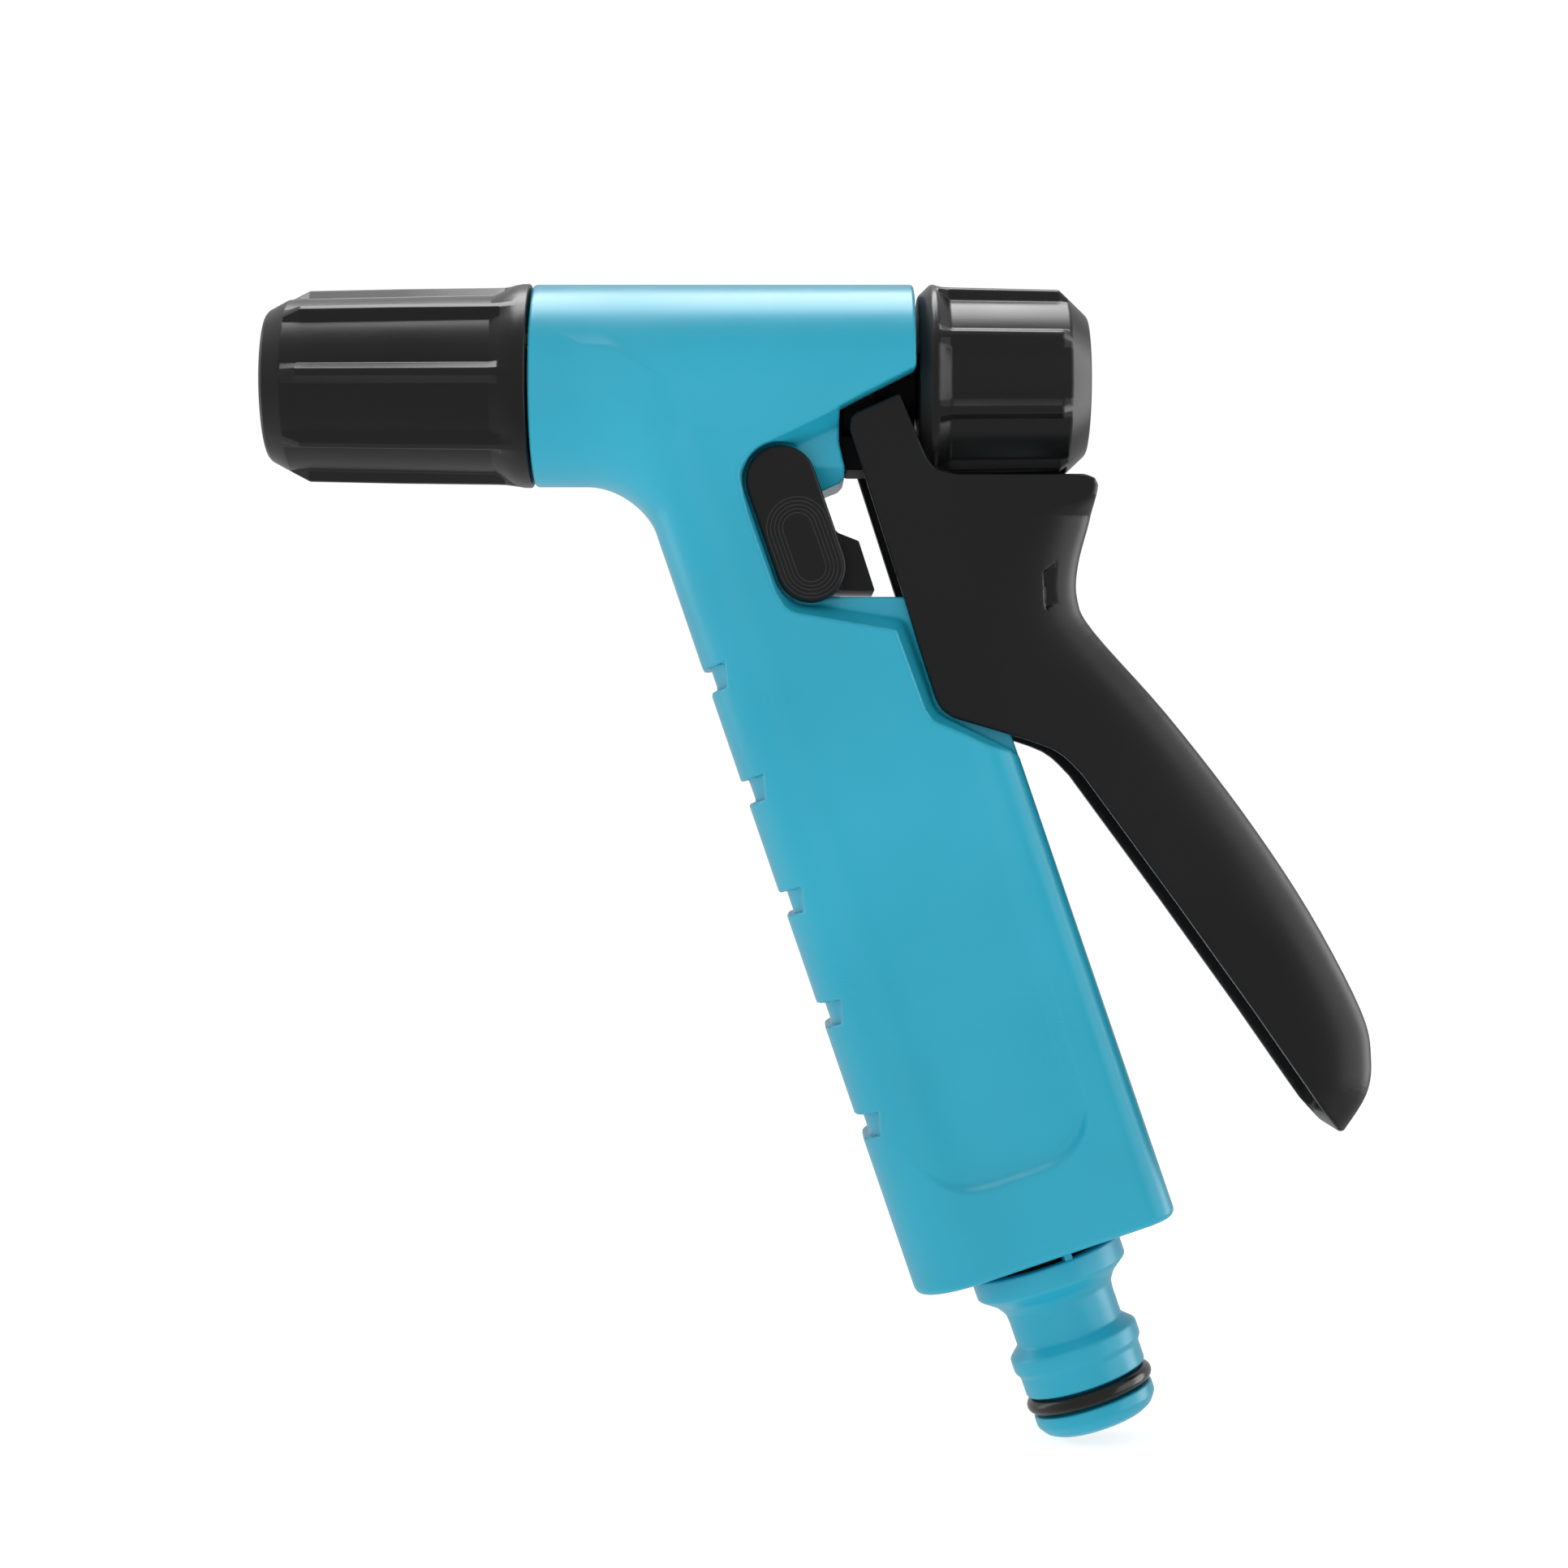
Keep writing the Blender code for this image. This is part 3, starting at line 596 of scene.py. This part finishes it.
def flow_knob():
    stations = [
        (0.5, 11.3, 11.3), (0.7, 11.6, 11.6), (2.2, 13.05, 13.05), (2.9, 12.97, 12.97),
        (4.5, 12.9, 11.6), (11.5, 12.75, 11.5), (18.5, 12.6, 11.4), (19.7, 11.44, 11.39),
        (22.1, 9.1, 9.1), (22.4, 8.7, 8.7),
    ]
    bore = [(22.4, 7.9), (20.2, 7.9), (20.2, 8.6), (13.0, 8.6), (13.0, 4.95), (0.5, 4.95)]
    return fluted("flow_knob", stations, bore, KNOB_RIB_ANGLE)


def knob_face():
    """The domed cap in the rear of the knob."""
    profile = [(20.5, 0.05), (20.5, 7.5), (22.15, 7.6)]
    profile += [(22.8 - 0.65 * (r / 7.6) ** 2, r) for r in (7.4, 6.5, 5.0, 3.5, 2.0, 1.0, 0.05)]
    return turned("knob_face", profile)


# Nipple


def nipple():
    profile = [
        (-14.0, 7.3), (-13.4, 7.6), (-9.6, 7.6), (-9.6, 6.6), (-7.4, 6.6), (-7.4, 7.6), (0.35, 7.6),
        (0.35, 7.7), (1.05, 7.7), (1.05, 10.0), (3.9, 10.0), (5.4, 8.0), (6.6, 7.2), (7.7, 7.05),
        (11.1, 7.05), (12.4, 8.5), (14.3, 8.5), (15.0, 8.0), (17.7, 8.0),
        (17.7, 6.3), (20.3, 6.3), (20.3, 7.95), (21.8, 7.95), (23.0, 7.1),
        (23.6, 5.9), (23.6, 5.0), (-14.0, 5.0),
    ]
    return turned("hose_nipple", rounded_profile(profile, 0.35), "GRIP", FOOT)


def flange_tabs():
    """Four small blocks that bridge the dark slit between the foot and the nipple's flange."""
    axis, side, other = AXES["GRIP"]
    points = []
    faces = []
    for quarter in range(4):
        lean = math.radians(TAB_ANGLE + 90 * quarter)
        out = math.cos(lean) * side + math.sin(lean) * other
        across = -math.sin(lean) * side + math.cos(lean) * other
        start = len(points)
        for depth in (0.1, 1.2):
            for reach, half in ((7.5, -0.5), (7.5, 0.5), (9.75, 0.5), (9.75, -0.5)):
                points.append(FOOT + axis * depth + out * reach + across * half)
        for face in ((3, 2, 1, 0), (4, 5, 6, 7), (0, 1, 5, 4), (1, 2, 6, 5), (2, 3, 7, 6), (3, 0, 4, 7)):
            faces.append(tuple(start + corner for corner in face))
    return add_mesh("flange_tabs", points, faces)


def ring_seal(name, distance, ring_r, section_r):
    """A ring of round section round the nipple's axis."""
    turn = np.linspace(0, 2 * math.pi, 20, endpoint=False)
    profile = [(distance + section_r * math.cos(t), ring_r + section_r * math.sin(t)) for t in turn]
    return turned(name, profile, "GRIP", FOOT, sharp=80.0)


# Valve and bonnet


def coil():
    """The spring that shuts the poppet: a wire of eight sides."""
    first, last = -32.2, -14.9
    coil_r, wire_r = 4.65, 0.5
    turns, sides = 7, 8
    steps = turns * 24
    points = []
    faces = []
    for i in range(steps + 1):
        turn = 2 * math.pi * turns * i / steps
        out = np.array((0.0, math.cos(turn), math.sin(turn)))
        middle = out * coil_r + np.array((first + (last - first) * i / steps, 0.0, 0.0))
        for k in range(sides):
            angle = 2 * math.pi * k / sides
            aside = np.array((wire_r * math.sin(angle), 0, 0))
            points.append(middle + out * wire_r * math.cos(angle) + aside)
    for i in range(steps):
        for k in range(sides):
            here, ahead = i * sides, (i + 1) * sides
            beside = (k + 1) % sides
            faces.append((here + k, here + beside, ahead + beside, ahead + k))
    faces.append(tuple(range(sides))[::-1])
    faces.append(tuple(range(steps * sides, (steps + 1) * sides)))
    return add_mesh("closing_spring", points, faces)


def bonnet():
    profile = [
        (-14.0, 7.3), (-12.8, 7.3), (-12.8, 6.2), (-11.0, 6.2), (-11.0, 7.3), (-9.2, 7.3), (-9.2, 8.15),
        (-5.0, 8.15), (-5.0, 6.6), (0.15, 6.6), (0.15, 4.2), (1.2, 4.2), (1.2, 2.6),
        (-11.6, 2.6), (-11.6, 4.3), (-14.0, 4.3),
    ]
    return turned("bonnet", rounded_profile(profile, 0.2), segments=72)


def bonnet_key():
    outline = [(-8.75, -11.4), (-5.2, -11.4), (-5.2, -7.0), (-9.4, -7.0), (-9.4, -8.3)]
    piece = slab("bonnet_key", outline, 5.8)
    bevel(piece, 0.3)
    return piece


# Materials


def new_material(name, colour, roughness, metallic=0.0):
    material = bpy.data.materials.new(name)
    material.use_nodes = True
    shader = material.node_tree.nodes["Principled BSDF"]
    shader.inputs["Base Color"].default_value = (*colour, 1.0)
    shader.inputs["Roughness"].default_value = roughness
    shader.inputs["Metallic"].default_value = metallic
    return material, shader


def add_noise(material, scale, detail=2.0):
    """A noise that sits still on the piece, in its own coordinates."""
    nodes, links = material.node_tree.nodes, material.node_tree.links
    place = nodes.new("ShaderNodeTexCoord")
    noise = nodes.new("ShaderNodeTexNoise")
    noise.inputs["Scale"].default_value = scale
    noise.inputs["Detail"].default_value = detail
    links.new(place.outputs["Object"], noise.inputs["Vector"])
    return noise.outputs["Fac"]


def spread(material, source, low, high):
    """The 0 to 1 source stretched between two values."""
    node = material.node_tree.nodes.new("ShaderNodeMapRange")
    node.inputs["From Min"].default_value = 0.3
    node.inputs["From Max"].default_value = 0.7
    node.inputs["To Min"].default_value = low
    node.inputs["To Max"].default_value = high
    material.node_tree.links.new(source, node.inputs["Value"])
    return node.outputs["Result"]


def surface(name, colour, roughness, metallic=0.0, gloss=0.5, grain=0.02):
    """A moulded or turned surface: fine grain in the bump, cloudy gloss, slight colour drift."""
    drift = 0.06
    grain_scale = 9000.0
    material, shader = new_material(name, colour, roughness, metallic)
    shader.inputs["Specular IOR Level"].default_value = gloss
    nodes, links = material.node_tree.nodes, material.node_tree.links
    cloud = add_noise(material, 60.0, 3.0)
    links.new(spread(material, cloud, roughness - 0.05, roughness + 0.05), shader.inputs["Roughness"])
    shade = nodes.new("ShaderNodeMix")
    shade.data_type = "RGBA"
    shade.inputs["A"].default_value = (*(c * (1 - drift) for c in colour), 1.0)
    shade.inputs["B"].default_value = (*(min(1.0, c * (1 + drift)) for c in colour), 1.0)
    links.new(spread(material, add_noise(material, 35.0), 0.0, 1.0), shade.inputs["Factor"])
    links.new(shade.outputs["Result"], shader.inputs["Base Color"])
    bump = nodes.new("ShaderNodeBump")
    bump.inputs["Strength"].default_value = grain * 5
    bump.inputs["Distance"].default_value = 0.00004
    links.new(add_noise(material, grain_scale, 1.0), bump.inputs["Height"])
    links.new(bump.outputs["Normal"], shader.inputs["Normal"])
    return material


BLUE = surface("blue_moulded", (0.016, 0.36, 0.51), 0.32)
BLACK = surface("black_moulded", (0.008, 0.008, 0.0083), 0.34, gloss=0.4)
# A darker, duller copy of the black plastic that paints shade: it keeps the bonnet and its key dark
# under the hood, and darkens the ring in the nipple's slit.
SHADED_BLACK = surface("shaded_black_copy", (0.004, 0.004, 0.004), 0.6, gloss=0.1)
# Paler grey for the faces of the thumb rings: painted highlight.
RING_HIGHLIGHT = surface("ring_painted_highlight", (0.06, 0.06, 0.06), 0.55, gloss=0.3)
RUBBER = surface("black_rubber", (0.012, 0.011, 0.010), 0.22, grain=0.01)
BRASS = surface("turned_brass", (0.78, 0.55, 0.25), 0.28, 1.0, grain=0.01)
STEEL = surface("plain_steel", (0.6, 0.61, 0.62), 0.27, 1.0, grain=0.01)

NODE_LOOKS = {
    "inlet_seal_oring": RUBBER, "spigot_oring": RUBBER, "seat_oring": RUBBER, "bonnet_oring": RUBBER,
    "stem_seal": RUBBER, "poppet_seal": RUBBER, "spray_core": BRASS, "valve_seat": BRASS,
    "knob_nut": BRASS, "pivot_pin": STEEL, "latch_pin": STEEL, "valve_stem": STEEL,
    "poppet_screw": STEEL, "valve_spring": STEEL, "stem_clip": STEEL, "poppet": BLACK,
    "spray_disc": BLACK,
}


def show(piece, look, body, slot, *nodes):
    """Gives a piece its material, its body and the CAD nodes that it stands for."""
    piece.data.materials.clear()
    piece.data.materials.append(look)
    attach(piece, body)
    if nodes:
        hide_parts(*nodes)


def make_pieces():
    cell = 0.42
    low, high = (BARREL_FRONT, -13.2, -118.0), (34.0, 13.2, 13.2)
    housing = moulded("body_moulding", body_field, low, high, cell)
    show(housing, BLUE, "body", "blue_plastic", "housing")
    low, high = (-8.6, -10.4, -96.0), (58.8, 10.4, -1.9)
    lever = moulded("lever_moulding", lever_field, low, high, cell)
    show(lever, BLACK, "lever", "black_plastic", "trigger_lever")
    show(spray_head(), BLACK, "head", "black_plastic", "nozzle_sleeve")
    show(flow_knob(), BLACK, "knob", "black_plastic", "regulator_knob")
    show(knob_face(), BLACK, "knob", "black_plastic", "knob_cap")
    show(nipple(), BLUE, "body", "blue_plastic", "inlet_nipple")
    show(flange_tabs(), BLUE, "body", "blue_plastic", "inlet_nipple")
    # A dark ring at the bottom of the slit under the nipple's flange: painted shade, not a seal.
    show(ring_seal("flange_slit_shade", 0.7, 8.3, 0.32), SHADED_BLACK, "body", "rubber", "inlet_nipple")
    show(ring_seal("nipple_seal", 19.0, 7.4, 1.0), RUBBER, "body", "rubber", "nipple_oring")
    spring = coil()
    show(spring, NODE_LOOKS["valve_spring"], "valve", "steel", "valve_spring")
    low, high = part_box("valve_spring")
    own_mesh(spring)
    show(bonnet(), SHADED_BLACK, "body", "black_plastic", "rear_bonnet")
    show(bonnet_key(), SHADED_BLACK, "body", "black_plastic", "rear_bonnet")
    show(latch_hook(), BLACK, "latch", "black_plastic", "latch_hook")
    for name, side, node in (("near", -1, "latch_button_right"), ("far", 1, "latch_button_left")):
        button = latch_button("thumb_plate_" + name, side)
        show(button, BLACK, "latch", "black_plastic", node)
        paint_ring_highlights(button)
    for node, look in NODE_LOOKS.items():
        for place in frame["nodes"][node].material_slots:
            place.material = look


# Studio


def add_light(name, place, target, size, power, glossy=True, diffuse=True):
    """An area light; one that isn't glossy lights the colour of a surface and leaves no highlight,
    and one that isn't diffuse is seen only as a highlight."""
    data = bpy.data.lights.new(name, "AREA")
    data.shape = "RECTANGLE"
    data.size, data.size_y = size
    data.energy = power
    lamp = bpy.data.objects.new(name, data)
    lamp.location = place
    lamp.rotation_euler = (Vector(target) - Vector(place)).to_track_quat("-Z", "Y").to_euler()
    lamp.visible_glossy = glossy
    lamp.visible_diffuse = diffuse
    bpy.context.collection.objects.link(lamp)


def make_floor():
    """A pale plane under the object, which leaves no reflection in it."""
    gap = 0.0005
    level = CAD_BOX[0][2] - gap
    reach = 40.0
    mesh = bpy.data.meshes.new("studio_floor")
    corners = [(-reach, -reach), (reach, -reach), (reach, reach), (-reach, reach)]
    mesh.from_pydata([(x, y, level) for x, y in corners], [], [(0, 1, 2, 3)])
    floor = bpy.data.objects.new("studio_floor", mesh)
    bpy.context.collection.objects.link(floor)
    floor.visible_glossy = False
    material, shader = new_material("studio_paper", (0.5, 0.5, 0.5), 1.0)
    shader.inputs["Specular IOR Level"].default_value = 0.0
    shader.inputs["Emission Color"].default_value = (1.0, 1.0, 1.0, 1.0)
    shader.inputs["Emission Strength"].default_value = 0.8
    mesh.materials.append(material)


def make_world():
    """A white surround. What it lights and what is reflected from it is dim on the near side, so
    that black plastic keeps its depth."""
    world = bpy.data.worlds.new("studio_world")
    world.use_nodes = True
    nodes, links = world.node_tree.nodes, world.node_tree.links
    place = nodes.new("ShaderNodeTexCoord")
    split = nodes.new("ShaderNodeSeparateXYZ")
    links.new(place.outputs["Generated"], split.inputs["Vector"])
    ramp = nodes.new("ShaderNodeMapRange")
    ramp.interpolation_type = "SMOOTHSTEP"
    ramp.inputs["From Min"].default_value = -0.7
    ramp.inputs["From Max"].default_value = 0.3
    ramp.inputs["To Min"].default_value = 0.28
    ramp.inputs["To Max"].default_value = 0.65
    links.new(split.outputs["Y"], ramp.inputs["Value"])
    seen = nodes.new("ShaderNodeLightPath")
    strength = nodes.new("ShaderNodeMix")
    links.new(seen.outputs["Is Camera Ray"], strength.inputs["Factor"])
    links.new(ramp.outputs["Result"], strength.inputs["A"])
    strength.inputs["B"].default_value = 1.02
    links.new(strength.outputs["Result"], nodes["Background"].inputs["Strength"])
    nodes["Background"].inputs["Color"].default_value = (1.0, 1.0, 1.0, 1.0)
    bpy.context.scene.world = world


def make_studio():
    make_world()
    scene = bpy.context.scene
    scene.view_settings.view_transform = "Standard"
    add_light("top_gloss", (-0.04, 0.125, 0.60), (-0.01, 0, 0.06), (0.5, 0.40), 4.8, diffuse=False)
    add_light("right_gloss", (0.7, 0.10, 0.10), (0, 0, 0), (0.35, 0.7), 3.0, diffuse=False)
    add_light("right_front_gloss", (0.62, -0.32, 0.1), (0, 0, 0), (0.45, 0.8), 1.5, diffuse=False)
    add_light("left_gloss", (-0.7, 0.25, 0.15), (0, 0, 0), (0.3, 0.7), 0.8, diffuse=False)
    add_light("front_fill", (-0.25, -0.8, 0.35), (0, 0, 0), (0.9, 0.9), 3.3, glossy=False)
    add_light("top_fill", (0.0, -0.1, 0.8), (0, 0, 0), (0.9, 0.9), 1.6, glossy=False)
    data = bpy.data.cameras.new("camera")
    data.sensor_width = 36.0
    data.lens = 69.9
    data.clip_start = 0.01
    camera = bpy.data.objects.new("camera", data)
    camera.location = (-0.0042, -0.394, 0.0098)
    camera.rotation_euler = (math.radians(90), 0.0, 0.0)
    bpy.context.collection.objects.link(camera)
    scene.camera = camera


make_pieces()
make_floor()
make_studio()
